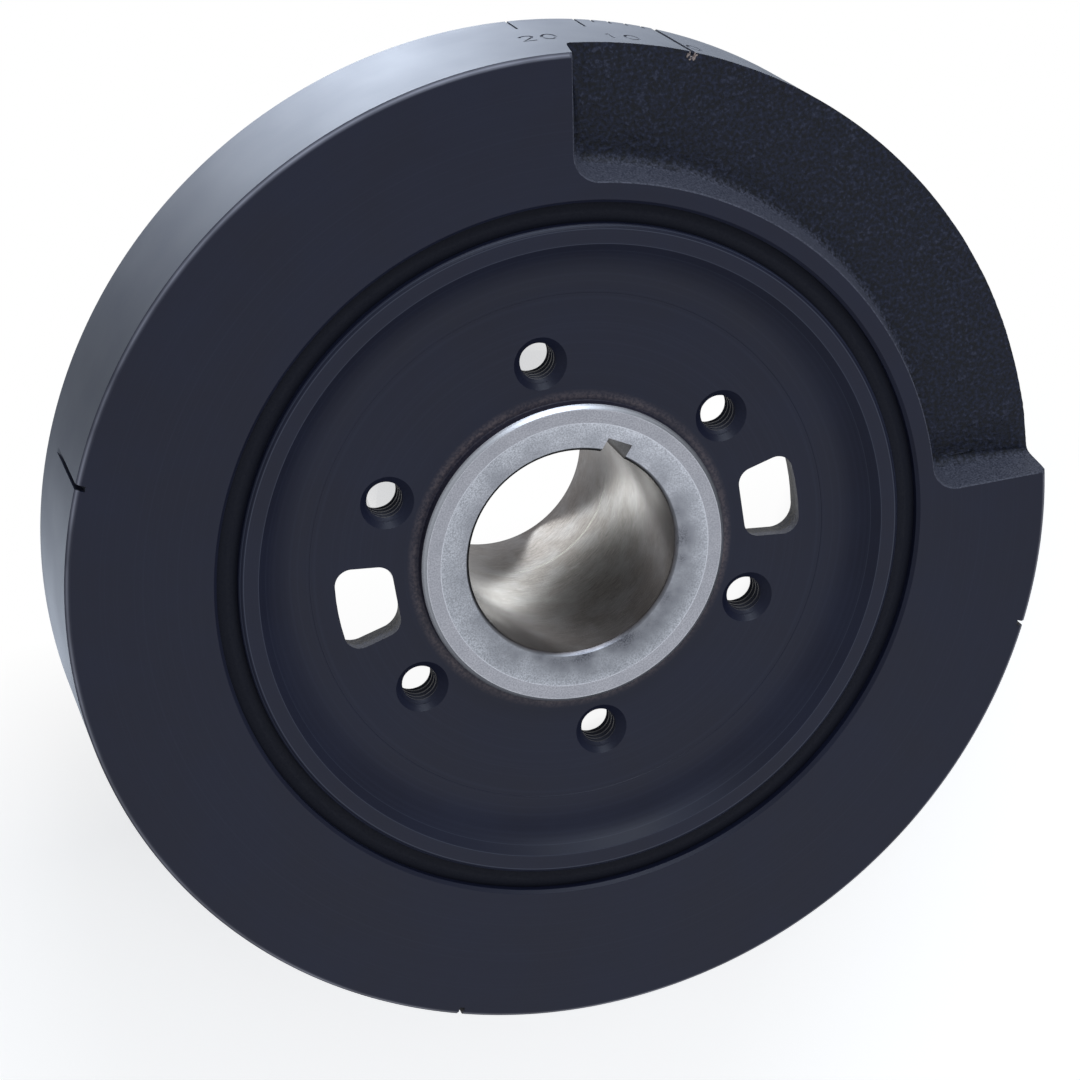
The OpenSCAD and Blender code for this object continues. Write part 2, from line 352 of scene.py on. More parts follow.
def slot_tool(bm, degrees):
    """Add the tapered hull of one web slot, from a top and a rear circle at each of seven spots."""
    slope = SLOT_GROWTH / (WEB_Z - WEB_BACK_Z)
    ends = ((WEB_Z + CLEAR, SLOT_CORNER - CLEAR * slope),
            (WEB_BACK_Z - CLEAR, SLOT_CORNER + SLOT_GROWTH + CLEAR * slope))
    sides = ((SLOT_INNER_R + SLOT_CORNER, (-1, 1)),
             (SLOT_OUTER_R - SLOT_CORNER, (-1, -0.5, 0, 0.5, 1)))
    rings = []
    for side_r, shares in sides:
        swing = SLOT_SPAN / 2 - math.degrees(math.asin(SLOT_CORNER / side_r))
        for share in shares:
            for height, corner_r in ends:
                middle = Matrix.Translation(polar(side_r, degrees + share * swing, height))
                made = bmesh.ops.create_circle(bm, segments=48, radius=corner_r * MM, matrix=middle)
                rings += made["verts"]
    bmesh.ops.convex_hull(bm, input=rings)
    bmesh.ops.delete(bm, geom=[v for v in rings if v.is_valid and not v.link_faces], context="VERTS")
    bmesh.ops.delete(bm, geom=[e for e in bm.edges if not e.link_faces], context="EDGES")


tools = bmesh.new()
sink_depth = SINK_R - THREAD_MINOR_R
for place in hole_places():
    sink_z = Matrix.Translation((0, 0, (WEB_Z + (CLEAR - sink_depth) / 2) * MM))
    bmesh.ops.create_cone(tools, cap_ends=True, segments=72, depth=(sink_depth + CLEAR) * MM,
                          radius1=THREAD_MINOR_R * MM, radius2=(SINK_R + CLEAR) * MM,
                          matrix=place @ sink_z)
box_tool(tools, (BORE_R / 2, -KEY_W / 2, -CLEAR), (BORE_R + KEY_DEPTH, KEY_W / 2, FACE_Z), KEY_DIR)
carve(hub, tools)
for degrees in SLOT_DIRS:
    slot = bmesh.new()
    slot_tool(slot, degrees)
    carve(hub, slot)
print("hub after cutting:", len(hub.data.polygons), "faces")

# %% [markdown]
# ## The rubber ring
# The rubber is squeezed in between hub and ring, and its two edges lie below the faces. Squeezed
# rubber stands a little proud where nothing holds it, so each edge is a low crown. In the picture
# it is only a dark line, and from behind it shows again.

# %% Rubber ring
RUBBER_CROWN = 0.4
rubber_mid = (RIM_R + RING_BORE_R) / 2
rubber_top = FACE_Z - RUBBER_RECESS
rubber_foot = BACK_Z + RUBBER_RECESS
rubber = make_object("rubber_ring_squeezed", revolve([
    (RIM_R, rubber_foot + RUBBER_CROWN, 0),
    (rubber_mid, rubber_foot, 1.5),
    (RING_BORE_R, rubber_foot + RUBBER_CROWN, 0),
    (RING_BORE_R, rubber_top - RUBBER_CROWN, 0),
    (rubber_mid, rubber_top, 1.5),
    (RIM_R, rubber_top - RUBBER_CROWN, 0),
]))
print("rubber ring:", round(RING_BORE_R - RIM_R, 2), "mm thick")

# %% [markdown]
# ## The inertia ring's blank
# The ring is the heavy piece. It is turned on all four sides, with chamfers at its corners.

# %% Inertia ring outline
RING_CHAMFER = 0.8
ring_outline = [
    (RING_BORE_R + GROOVE_CHAMFER, BACK_Z, EDGE),
    (RING_R - RING_CHAMFER, BACK_Z, EDGE),
    (RING_R, BACK_Z + RING_CHAMFER, EDGE),
    (RING_R, FACE_Z - RING_CHAMFER, EDGE),
    (RING_R - RING_CHAMFER, FACE_Z, EDGE),
    (RING_BORE_R + GROOVE_CHAMFER, FACE_Z, EDGE),
    (RING_BORE_R, FACE_Z - GROOVE_CHAMFER, EDGE),
    (RING_BORE_R, BACK_Z + GROOVE_CHAMFER, EDGE),
]
ring = make_object("inertia_ring_casting", revolve(ring_outline))
print("ring blank:", len(ring.data.polygons), "faces")

# %% [markdown]
# ## The imbalance pocket
# A quarter of the ring's face is left as a rough cast pocket, so that the ring is lighter on that
# side and balances the engine. It is the feature that takes the most skill to cast: three walls
# lean outwards by 12 degrees, two corners are round, and a fillet leads down to a sandy floor.
# The tool starts as its outline at the face. Insets, each moved down a little, make the worn
# edge, the leaning wall and the rounds of the fillet. Then a grid of cuts gives the floor enough
# points, and noise with the grain of moulding sand lifts and drops them.

# %% Pocket tool
POCKET_DIR = 38.6
POCKET_SPAN = 86.5
POCKET_INNER_R = 69.3
POCKET_DEPTH = 8.5
POCKET_DRAFT = math.radians(12)
POCKET_CORNER = 5.2
POCKET_FILLET = 2.5
POCKET_EDGE = 0.25
POCKET_MARGIN = 8.0
POCKET_ARC_STEPS = 96
SAND_GRID = 0.45
SAND_GRAIN = 1.1
SAND_HEIGHT = 0.2


def pocket_outline():
    """The pocket's outline at the face, with its two inner corners rounded."""
    walls = (POCKET_DIR - POCKET_SPAN / 2, POCKET_DIR + POCKET_SPAN / 2)
    path_r = POCKET_INNER_R + POCKET_CORNER
    swing = math.degrees(math.asin(POCKET_CORNER / path_r))
    outer_r = RING_R + POCKET_MARGIN
    step = POCKET_SPAN / POCKET_ARC_STEPS
    points = [polar(outer_r, walls[1] - i * step) for i in range(POCKET_ARC_STEPS + 1)]
    corner_steps = 12
    for k in range(corner_steps + 1):
        turn = walls[0] - 90 - k * (90 - swing) / corner_steps
        points.append(polar(path_r, walls[0] + swing) + polar(POCKET_CORNER, turn))
    for i in range(1, POCKET_ARC_STEPS):
        share = i / POCKET_ARC_STEPS
        points.append(polar(POCKET_INNER_R, walls[0] + swing + share * (POCKET_SPAN - 2 * swing)))
    for k in range(corner_steps + 1):
        turn = walls[1] - swing + 180 - k * (90 - swing) / corner_steps
        points.append(polar(path_r, walls[1] - swing) + polar(POCKET_CORNER, turn))
    return points


def pocket_tool():
    """The pocket's tool: a leaning wall, a fillet and a sandy floor."""
    bm = bmesh.new()
    lift = Vector((0, 0, (FACE_Z + CLEAR) * MM))
    face = bm.faces.new([bm.verts.new(point + lift) for point in pocket_outline()])
    face.normal_update()
    if face.normal.z > 0:
        face.normal_flip()
    wall = POCKET_DEPTH - POCKET_EDGE - POCKET_FILLET * (1 - math.sin(POCKET_DRAFT))
    steps = [(POCKET_EDGE, POCKET_EDGE), (wall, wall * math.tan(POCKET_DRAFT))]
    rise = [POCKET_DRAFT + (math.pi / 2 - POCKET_DRAFT) * k / 5 for k in range(6)]
    for a, b in zip(rise, rise[1:]):
        down = POCKET_FILLET * (math.sin(b) - math.sin(a))
        inwards = POCKET_FILLET * (math.cos(a) - math.cos(b))
        steps.append((down, inwards))
    top = bmesh.ops.extrude_face_region(bm, geom=[face])
    floor = next(g for g in top["geom"] if isinstance(g, bmesh.types.BMFace))
    bmesh.ops.translate(bm, verts=floor.verts, vec=(0, 0, -CLEAR * MM))
    for down, inwards in steps:
        bmesh.ops.inset_region(bm, faces=[floor], thickness=inwards * MM, depth=0)
        bmesh.ops.translate(bm, verts=floor.verts, vec=(0, 0, -down * MM))
    return bm, floor


tool, floor = pocket_tool()
reach = RING_R + POCKET_MARGIN
floor_faces = [floor]
for axis in (Vector((1, 0, 0)), Vector((0, 1, 0))):
    for k in range(int(-reach / 4 / SAND_GRID), int(reach / SAND_GRID)):
        edges = list(dict.fromkeys(e for f in floor_faces for e in f.edges))
        verts = list(dict.fromkeys(v for f in floor_faces for v in f.verts))
        made = bmesh.ops.bisect_plane(tool, geom=verts + edges + floor_faces,
                                      plane_co=axis * (k + 0.5) * SAND_GRID * MM, plane_no=axis)
        floor_faces = [g for g in made["geom"] if isinstance(g, bmesh.types.BMFace)]
print("pocket floor:", len(floor_faces), "faces")

# %% Sandy floor
SAND_WAVE = 6.0
SAND_WAVE_HEIGHT = 0.22
for vert in {v for f in floor_faces for v in f.verts}:
    spot = vert.co / MM
    grain = noise.noise(spot / SAND_GRAIN) + 0.5 * noise.noise(spot * 2 / SAND_GRAIN)
    vert.co.z += (SAND_HEIGHT * grain + SAND_WAVE_HEIGHT * noise.noise(spot / SAND_WAVE)) * MM
carve(ring, tool)
print("ring after the pocket:", len(ring.data.polygons), "faces")

# %% [markdown]
# ## Timing marks
# A saw cut across the whole rim marks zero degrees. Three more cuts run out before the rear
# edge, as a round saw leaves them. Short ticks count the degrees next to zero, and stamped
# figures name them. A figure's tool is a round wire bent along its strokes, so that each stroke
# comes out as the round-bottomed groove that a stamp leaves.

# %% Notches, ticks and figures
ZERO_DIR = 66.2
NOTCH_W = 1.0
ZERO_DEPTH = 0.9
NOTCH_DEPTH = 1.7
NOTCH_RUN = 21.0
TICK_FIRST = 1.6
TICK_STEP = 2.0
TICK_COUNT = 4
TICK_GAP = 7.8
TICK_SHORT = 3.0
TICK_LONG = 8.0
TICK_W = 0.45
TICK_DEPTH = 0.3
FIGURE_H = 4.4
FIGURE_PITCH = 3.9
FIGURE_Z = FACE_Z - 14.6
STROKE_W = 0.55
STROKES = {
    "0": [(0.27 * math.cos(k * math.pi / 12), 0.45 * math.sin(k * math.pi / 12)) for k in range(24)],
    "1": [(-0.13, 0.28), (0, 0.45), (0, -0.45)],
    "2": [(-0.26, 0.24), (-0.19, 0.39), (0, 0.45), (0.19, 0.39), (0.26, 0.24), (0.2, 0.06),
          (-0.26, -0.45), (0.28, -0.45)],
}
FIGURES = (("0", -1.5), ("10", 7.1), ("20", 16.6))


def figure_tool(bm, figures, degrees):
    """Add stamped figures, whose tops point to the rear, on the rim round one direction."""
    out = polar(1, degrees) / MM
    along = polar(1, degrees - 90) / MM
    upright = Matrix((along, (0, 0, -1), out)).transposed().to_4x4()
    seat = Matrix.Translation(polar(RING_R, degrees, FIGURE_Z)) @ upright
    for i, figure in enumerate(figures):
        curve = bpy.data.curves.new("stamp", "CURVE")
        curve.dimensions = "3D"
        curve.bevel_depth = STROKE_W / 2 * MM
        curve.bevel_resolution = 2
        curve.use_fill_caps = True
        line = curve.splines.new("POLY")
        line.points.add(len(STROKES[figure]) - 1)
        line.use_cyclic_u = figure == "0"
        for point, (x, y) in zip(line.points, STROKES[figure]):
            shift = (i - (len(figures) - 1) / 2) * FIGURE_PITCH
            place = seat @ Vector(((x * FIGURE_H + shift) * MM, y * FIGURE_H * MM, 0))
            point.co = (*place, 1)
        stamp = bpy.data.objects.new("stamp", curve)
        bpy.context.scene.collection.objects.link(stamp)
        bpy.context.view_layer.update()
        evaluated = stamp.evaluated_get(bpy.context.evaluated_depsgraph_get())
        mesh = bpy.data.meshes.new_from_object(evaluated)
        bm.from_mesh(mesh)
        bpy.data.objects.remove(stamp)
        bpy.data.meshes.remove(mesh)
    bmesh.ops.remove_doubles(bm, verts=bm.verts, dist=0.002 * MM)


marks = bmesh.new()
saw_r = (NOTCH_RUN ** 2 + NOTCH_DEPTH ** 2) / (2 * NOTCH_DEPTH)
for i in (1, 2, 3):
    saw_place = Matrix.Translation(Vector((RING_R - NOTCH_DEPTH + saw_r, 0, FACE_Z)) * MM)
    on_edge = Matrix.Rotation(math.pi / 2, 4, "X")
    bmesh.ops.create_cone(marks, cap_ends=True, segments=720, depth=NOTCH_W * MM,
                          radius1=saw_r * MM, radius2=saw_r * MM,
                          matrix=turned(ZERO_DIR + i * 90) @ saw_place @ on_edge)
box_tool(marks, (RING_R - ZERO_DEPTH, -NOTCH_W / 2, BACK_Z - CLEAR),
         (RING_R + CLEAR, NOTCH_W / 2, FACE_Z + CLEAR), ZERO_DIR)
short_ticks = [ZERO_DIR + TICK_FIRST + i * TICK_STEP for i in range(TICK_COUNT)]
first_long = ZERO_DIR + TICK_FIRST + TICK_COUNT * TICK_STEP
ticks = [(d, TICK_SHORT) for d in short_ticks]
ticks += [(first_long, TICK_LONG), (first_long + TICK_GAP, TICK_LONG)]
for degrees, length in ticks:
    box_tool(marks, (RING_R - TICK_DEPTH, -TICK_W / 2, BACK_Z - CLEAR),
             (RING_R + CLEAR, TICK_W / 2, BACK_Z + length), degrees)
carve(ring, marks)
for figures, turn in FIGURES:
    stamps = bmesh.new()
    figure_tool(stamps, figures, ZERO_DIR + turn)
    carve(ring, stamps)
print("ring after its marks:", len(ring.data.polygons), "faces")

# %% [markdown]
# ## Colours and nodes for the finishes
# Colours are written as the sRGB hex values that a colour picker shows, and one function turns
# them to the linear numbers that a shader needs. Another adds a node with its settings and links,
# so each finish below reads as a recipe. Inputs are given by name or by number. Map Range's 0 is
# the value, 1 and 2 are the range it comes from, and 3 and 4 the one it goes to. Mix's 0 is the
# share, and 6 and 7 are its two colours. All patterns sit on object coordinates, in metres, so a
# grain of half a millimetre has a noise scale of one over 0.0005.

# %% Finish helpers
def linear(hex_colour):
    """Turn an sRGB hex colour into linear red, green, blue and alpha."""
    parts = [int(hex_colour[i:i + 2], 16) / 255 for i in (1, 3, 5)]
    return (*[p / 12.92 if p <= 0.04045 else ((p + 0.055) / 1.055) ** 2.4 for p in parts], 1)


def blobs(size):
    """The noise scale whose blobs are size millimetres across."""
    return 1 / (size * MM)


def add(tree, kind, inputs, **settings):
    """Add a node with its settings, and set or link each input. A node links by its live output."""
    made = tree.nodes.new("ShaderNode" + kind)
    for name, value in settings.items():
        setattr(made, name, value)
    for name, value in inputs.items():
        if isinstance(value, bpy.types.Node):
            value = next(output for output in value.outputs if output.enabled)
        if isinstance(value, bpy.types.NodeSocket):
            tree.links.new(value, made.inputs[name])
        else:
            made.inputs[name].default_value = value
    return made


def new_material(name):
    """An empty material, and the tree to build it in."""
    material = bpy.data.materials.new(name)
    material.use_nodes = True
    tree = material.node_tree
    tree.nodes.clear()
    return material, tree


def around_bore(tree):
    """Object coordinates, the distance from the bore's axis, and (distance, height, 0)."""
    spot = add(tree, "TexCoord", {}).outputs["Object"]
    split = add(tree, "SeparateXYZ", {"Vector": spot})
    flat = add(tree, "CombineXYZ", {"X": split.outputs["X"], "Y": split.outputs["Y"]})
    away = add(tree, "VectorMath", {0: flat}, operation="LENGTH")
    ringed = add(tree, "CombineXYZ", {"X": away, "Y": split.outputs["Z"]})
    return spot, away, ringed, split.outputs["Z"]


def near(tree, value, middle, reach):
    """1 where a value is at the middle, falling to 0 at a distance of reach, in millimetres."""
    off = add(tree, "Math", {0: value, 1: middle * MM}, operation="SUBTRACT")
    off = add(tree, "Math", {0: off}, operation="ABSOLUTE")
    return add(tree, "MapRange", {0: off, 1: 0.0, 2: reach * MM, 3: 1.0, 4: 0.0})


def over(tree, colour, hex_colour, value, low=0.0, high=1.0, most=1.0):
    """Lay a colour over another: none of it where a value is low, most of it where it is high."""
    share = add(tree, "MapRange", {0: value, 1: low, 2: high, 3: 0.0, 4: most})
    return add(tree, "Mix", {0: share, 6: colour, 7: linear(hex_colour)}, data_type="RGBA")


def coat(tree, inputs, relief):
    """Finish a material: bumps of (height, depth in millimetres), its shader and its output."""
    for height, depth in relief:
        bump = {"Height": height, "Strength": 1.0, "Distance": depth * MM}
        if "Normal" in inputs:
            bump["Normal"] = inputs["Normal"]
        inputs["Normal"] = add(tree, "Bump", bump)
    shader = add(tree, "BsdfPrincipled", inputs)
    add(tree, "OutputMaterial", {"Surface": shader})


# %% [markdown]
# ## Satin enamel over turned iron
# Hub and ring wear one thin coat of satin blue-black engine enamel. It is sprayed, so it has a
# fine even grain, and the turning marks of the iron beneath still show as faint rings. It is
# dark and a little blue, and it reflects softly. Real turning marks lie about 0.1 mm apart, too
# fine to show here, so they are drawn at half a millimetre. Pale lines along the hub's turned
# edges and the ring's front corner are painted highlights, where those edges catch the light.
# Dusty overspray lies round the masked sleeve. Where the saw for the zero mark ran out at the
# pocket, a nick of bare iron is left. All of these are places on the part, so each is measured
# from the bore's axis or from a point.

# %% Satin enamel
POCKET_FLOOR_Z = FACE_Z - POCKET_DEPTH
NICK = polar(RING_R - 0.7, ZERO_DIR, POCKET_FLOOR_Z - 0.5)
NICK_R = 0.9
NICK_COLOUR = "#A09189"
# Painted highlights: pale thin rings where the hub's turned edges catch the light.
EDGE_HIGHLIGHT_RINGS = ((61.2, 0.10, 0.5), (61.75, 0.08, 0.4), (58.55, 0.10, 0.35), (57.0, 0.08, 0.2))
OVERSPRAY_R = NOSE_R + 0.9
OVERSPRAY_REACH = 1.3


def nicked(tree, spot, grain):
    """1 on the bare nick where the zero mark meets the pocket's floor, with a ragged edge."""
    off = add(tree, "VectorMath", {0: spot, 1: NICK}, operation="DISTANCE")
    ragged = add(tree, "MapRange", {0: grain, 1: 0.35, 2: 0.65, 3: -0.35 * MM, 4: 0.35 * MM})
    off = add(tree, "Math", {0: off, 1: ragged}, operation="ADD")
    return add(tree, "MapRange", {0: off, 1: NICK_R * MM, 2: (NICK_R - 0.2) * MM})


def satin_enamel(name):
    """Satin blue-black enamel over turned iron, with overspray round the sleeve and painted highlights
    on turned edges.
    """
    material, tree = new_material(name)
    spot, away, ringed, height = around_bore(tree)
    cloud = add(tree, "TexNoise", {"Vector": spot, "Scale": blobs(14), "Detail": 3.0})
    turning = add(tree, "TexNoise", {"Vector": ringed, "Scale": blobs(0.5), "Detail": 3.0})
    spray = add(tree, "TexNoise", {"Vector": spot, "Scale": blobs(0.45), "Detail": 2.0})

    colour = over(tree, linear("#15182A"), "#181C2F", cloud, 0.35, 0.65)
    colour = over(tree, colour, "#262B3D", turning, 0.52, 0.75, 0.35)
    # Painted highlights along the hub's turned edges.
    for radius, reach, strength in EDGE_HIGHLIGHT_RINGS:
        colour = over(tree, colour, "#5A6170", near(tree, away, radius, reach), most=strength)

    dusty = near(tree, away, OVERSPRAY_R, OVERSPRAY_REACH)
    specks = add(tree, "MapRange", {0: spray, 1: 0.4, 2: 0.6, 3: 0.35, 4: 1.0})
    patches = add(tree, "MapRange", {0: cloud, 1: 0.35, 2: 0.65, 3: 0.5, 4: 1.0})
    dusty = add(tree, "Math", {0: dusty, 1: specks}, operation="MULTIPLY")
    dusty = add(tree, "Math", {0: dusty, 1: patches}, operation="MULTIPLY")
    colour = over(tree, colour, "#62585A", dusty)

    # Painted highlight: a pale line along the ring's front corner, broken up by the cloud.
    edge = {0: near(tree, away, RING_R - 0.4, 0.6), 1: near(tree, height, FACE_Z - 0.4, 0.6)}
    edge = add(tree, "Math", edge, operation="MULTIPLY")
    highlight_breakup = add(tree, "MapRange", {0: cloud, 1: 0.3, 2: 0.7, 3: 0.3, 4: 0.9})
    edge = add(tree, "Math", {0: edge, 1: highlight_breakup}, operation="MULTIPLY")
    colour = over(tree, colour, "#A0A1AC", edge)
    coat(tree, {
        "Base Color": over(tree, colour, NICK_COLOUR, nicked(tree, spot, spray)),
        "Roughness": add(tree, "MapRange", {0: cloud, 1: 0.3, 2: 0.7, 3: 0.42, 4: 0.47}),
        "Specular IOR Level": 0.3,
    }, ((turning, 0.006), (spray, 0.004)))
    return material


# %% [markdown]
# ## Enamel over sand-cast iron
# The same paint looks darker and duller on the cast pocket, because each grain of the mould left
# a small pit that holds its own shadow, and the floor's dark colour is partly that shade, painted
# in. The floor's larger lumps are in the mesh, and this adds the grains that are too small for
# it. The steep walls are painted paler, a painted highlight where the light falls on them, so the
# height above the pocket's floor chooses between the two colours.

# %% Cast enamel
WALL_FOOT = 0.2
WALL_FULL = 1.6


def cast_enamel(name):
    """The same enamel over the pits and grains of a sand casting, with painted shade on the floor and
    a painted highlight on the walls.
    """
    material, tree = new_material(name)
    spot, away, ringed, height = around_bore(tree)
    grain = add(tree, "TexNoise", {"Vector": spot, "Scale": blobs(0.7), "Detail": 5.0})
    fine = add(tree, "TexNoise", {"Vector": spot, "Scale": blobs(0.35), "Detail": 3.0})
    # Painted shade and highlight: the floor is drawn dark for the shade in its pits, and the walls
    # pale where light falls on them.
    sandy_floor = over(tree, linear("#0C0F17"), "#20263A", grain, 0.4, 0.66)
    wall = over(tree, linear("#363945"), "#5A5C68", fine, 0.35, 0.65)

    ragged = add(tree, "MapRange", {0: grain, 1: 0.3, 2: 0.7, 3: -0.45 * MM, 4: 0.45 * MM})
    lifted = add(tree, "Math", {0: height, 1: ragged}, operation="ADD")
    up_wall = add(tree, "MapRange", {0: lifted, 1: (POCKET_FLOOR_Z + WALL_FOOT) * MM,
                                     2: (POCKET_FLOOR_Z + WALL_FULL) * MM})
    colour = add(tree, "Mix", {0: up_wall, 6: sandy_floor, 7: wall}, data_type="RGBA")
    coat(tree, {
        "Base Color": over(tree, colour, NICK_COLOUR, nicked(tree, spot, grain)),
        "Roughness": add(tree, "MapRange", {0: grain, 1: 0.3, 2: 0.7, 3: 0.48, 4: 0.6}),
        "Specular IOR Level": 0.3,
    }, ((grain, 0.2), (fine, 0.05)))
    return material


# %% [markdown]
# ## Bare turned iron
# The sleeve's end, its bore, the sleeve that runs in the seal and the boss are bare. Bare iron is
# a pale grey metal, and turning leaves fine rings that stretch its reflections across them. They
# too are drawn coarser than they are, so that they show. The shallow cone at the front is the
# palest, and the bore is browner and smoother. The sleeve that runs in the seal and the boss
# behind it are ground, so they mirror most. A scribed line goes round the bore, and pits lie round
# its mouth. They are drawn darker and denser towards the bore and on one side, partly as painted
# shade. A bright line along the edge between the flat ring and the cone is a painted highlight,
# and the polished chamfer on the sleeve's end is drawn near white, partly as a painted highlight.
# The colours are laid one over another, from the face to the bore and then to the ground sleeve.

# %% Bare iron
STRETCH = 0.12
GROUND_POLISH = 0.2
SHADED_SIDE_DIR = (0.55, -0.83, 0)


def bare_iron(name):
    """Bare turned iron: pale on the cone, greyer on the flat ring, browner down the bore."""
    material, tree = new_material(name)
    spot, away, ringed, height = around_bore(tree)
    drawn = add(tree, "Mapping", {"Vector": spot, "Scale": (STRETCH, STRETCH, 1.0)})
    cloud = add(tree, "TexNoise", {"Vector": spot, "Scale": blobs(5), "Detail": 3.0})
    grit = add(tree, "TexNoise", {"Vector": spot, "Scale": blobs(0.28), "Detail": 3.0})
    rings = add(tree, "TexNoise", {"Vector": ringed, "Scale": blobs(0.22), "Detail": 3.0})
    scratch = add(tree, "TexNoise", {"Vector": drawn, "Scale": blobs(0.2), "Detail": 4.0})

    face = over(tree, linear("#E2E4E7"), "#B0B0B3", away, CONE_R * MM, (CONE_R + 0.1) * MM)
    dimple = add(tree, "MapRange", {0: grit, 1: 0.35, 2: 0.62, 3: 0.6, 4: 0.0})
    face = over(tree, face, "#7E7E82", dimple)

    # Painted shade, partly: the pits are drawn darker and denser towards the bore's mouth and on one
    # side.
    side = add(tree, "VectorMath", {0: spot, 1: SHADED_SIDE_DIR}, operation="DOT_PRODUCT")
    shaded_side = add(tree, "MapRange", {0: side, 1: -4 * MM, 2: 16 * MM, 3: 0.35, 4: 1.0})
    mottled = add(tree, "MapRange", {0: cloud, 1: 0.3, 2: 0.62, 3: 0.45, 4: 1.0})
    by_mouth = add(tree, "MapRange", {0: away, 1: CONE_R * MM, 2: (BORE_R + 1.4) * MM})
    pits_and_shade = add(tree, "MapRange", {0: grit, 1: 0.32, 2: 0.58, 3: 0.4, 4: 1.0})
    for mask in (shaded_side, mottled, by_mouth):
        pits_and_shade = add(tree, "Math", {0: pits_and_shade, 1: mask}, operation="MULTIPLY")
    face = over(tree, face, "#4A4B53", pits_and_shade)

    # Painted highlight: a bright line along the edge between the flat ring and the cone.
    edge_glint = add(tree, "MapRange", {0: cloud, 1: 0.4, 2: 0.65, 3: 0.1, 4: 0.8})
    edge_glint = add(tree, "Math", {0: near(tree, away, CONE_R, 0.14), 1: edge_glint}, operation="MULTIPLY")
    face = over(tree, face, "#F2F4F6", edge_glint)

    bore = over(tree, linear("#504B4A"), "#6C6766", scratch, 0.35, 0.65)
    bore = over(tree, bore, "#383434", grit, 0.45, 0.65, 0.4)
    bore = over(tree, bore, "#A9A8A3", near(tree, height, SCRIBE_Z, 0.35))
    out_of_bore = add(tree, "MapRange", {0: away, 1: (BORE_R + 0.1) * MM, 2: (BORE_R + 0.7) * MM})
    colour = add(tree, "Mix", {0: out_of_bore, 6: bore, 7: face}, data_type="RGBA")
    colour = over(tree, colour, "#8B8D92", cloud, 0.4, 0.7, 0.3)

    # Painted highlight, partly: the polished chamfer on the sleeve's end is drawn near white.
    chamfer = add(tree, "MapRange", {0: height, 1: (NOSE_Z - 1) * MM, 2: NOSE_Z * MM})
    chamfer = {0: near(tree, away, NOSE_R - 0.4, 0.6), 1: chamfer}
    colour = over(tree, colour, "#FAFBFC", add(tree, "Math", chamfer, operation="MULTIPLY"))

    behind_web = add(tree, "MapRange", {0: height, 1: WEB_BACK_Z * MM, 2: (WEB_BACK_Z - 1) * MM})
    ground = add(tree, "MapRange", {0: away, 1: (SEAL_R - 0.5) * MM, 2: (SEAL_R - 0.1) * MM})
    ground = add(tree, "Math", {0: behind_web, 1: ground}, operation="MULTIPLY")
    colour = over(tree, colour, "#DADBDD", ground)

    dull = add(tree, "MapRange", {0: out_of_bore, 3: 0.26, 4: 0.38})
    polish = add(tree, "Math", {0: ground, 1: GROUND_POLISH}, operation="MULTIPLY")
    coat(tree, {
        "Base Color": colour,
        "Metallic": 1.0,
        "Roughness": add(tree, "Math", {0: dull, 1: polish}, operation="SUBTRACT"),
    }, ((rings, 0.008), (scratch, 0.0025), (grit, 0.004)))
    return material


# %% [markdown]
# ## Painted rubber
# The enamel was sprayed over the rubber's edge too. Rubber is dull, and down in its groove it
# looks almost black.

# %% Rubber
def painted_rubber(name):
    """Dull rubber under a thin coat of the same enamel."""
    material, tree = new_material(name)
    spot, away, ringed, height = around_bore(tree)
    grain = add(tree, "TexNoise", {"Vector": spot, "Scale": blobs(0.4), "Detail": 2.0})
    coat(tree, {
        "Base Color": linear("#0E111D"),
        "Roughness": add(tree, "MapRange", {0: grain, 1: 0.3, 2: 0.7, 3: 0.6, 4: 0.75}),
        "Specular IOR Level": 0.25,
    }, ((grain, 0.01),))
    return material


enamel = satin_enamel("satin_enamel")
sandy = cast_enamel("enamel_on_cast_iron")
iron = bare_iron("bare_turned_iron")
rubber_skin = painted_rubber("painted_rubber")
print("finishes:", [finish.name for finish in (enamel, sandy, iron, rubber_skin)])

# %% [markdown]
# ## Dressing the pieces
# Each piece gets its finishes face by face: a small test on the middle of a face says which one.
# Faces that meet at more than 30 degrees keep a sharp line between them. All others are shaded
# smooth, with large faces weighted most, and level ones stay flat, as a lathe faces them.

# %% Finishing a piece
SHARP_ANGLE = math.radians(30)
LEVEL = 0.99999
HAIR = 0.02
SLOT_ZONE_R = (32, 46)
SLOT_ZONE_TURN = 14


def dress(piece, materials, choose):
    """Give a piece its materials face by face, and shade it."""
    for material in materials:
        piece.data.materials.append(material)
    for face in piece.data.polygons:
        middle = face.center / MM
        degrees = math.degrees(math.atan2(middle.y, middle.x))
        face.material_index = choose(math.hypot(middle.x, middle.y), middle.z, degrees)
        face.use_smooth = abs(face.normal.z) < LEVEL
    piece.data.set_sharp_from_angle(angle=SHARP_ANGLE)
    weighted = piece.modifiers.new("flat_faces_stay_flat", "WEIGHTED_NORMAL")
    weighted.keep_sharp = True


def hub_finish(radius, height, degrees):
    """1 for bare iron: the bore, the sleeve and the boss. 2 for cast slot walls."""
    off_slot = min(abs(degrees), 180 - abs(degrees))
    at_slot = off_slot < SLOT_ZONE_TURN and SLOT_ZONE_R[0] < radius < SLOT_ZONE_R[1]
    if at_slot and WEB_BACK_Z + HAIR < height < WEB_Z - HAIR:
        return 2
    in_bore = radius < NOSE_R - 0.9
    on_front = radius < NOSE_R - 0.05 and height > WEB_Z
    on_sleeve = height < WEB_BACK_Z - 1.2 and radius < BOSS_R + 0.2
    return 1 if in_bore or on_front or on_sleeve else 0


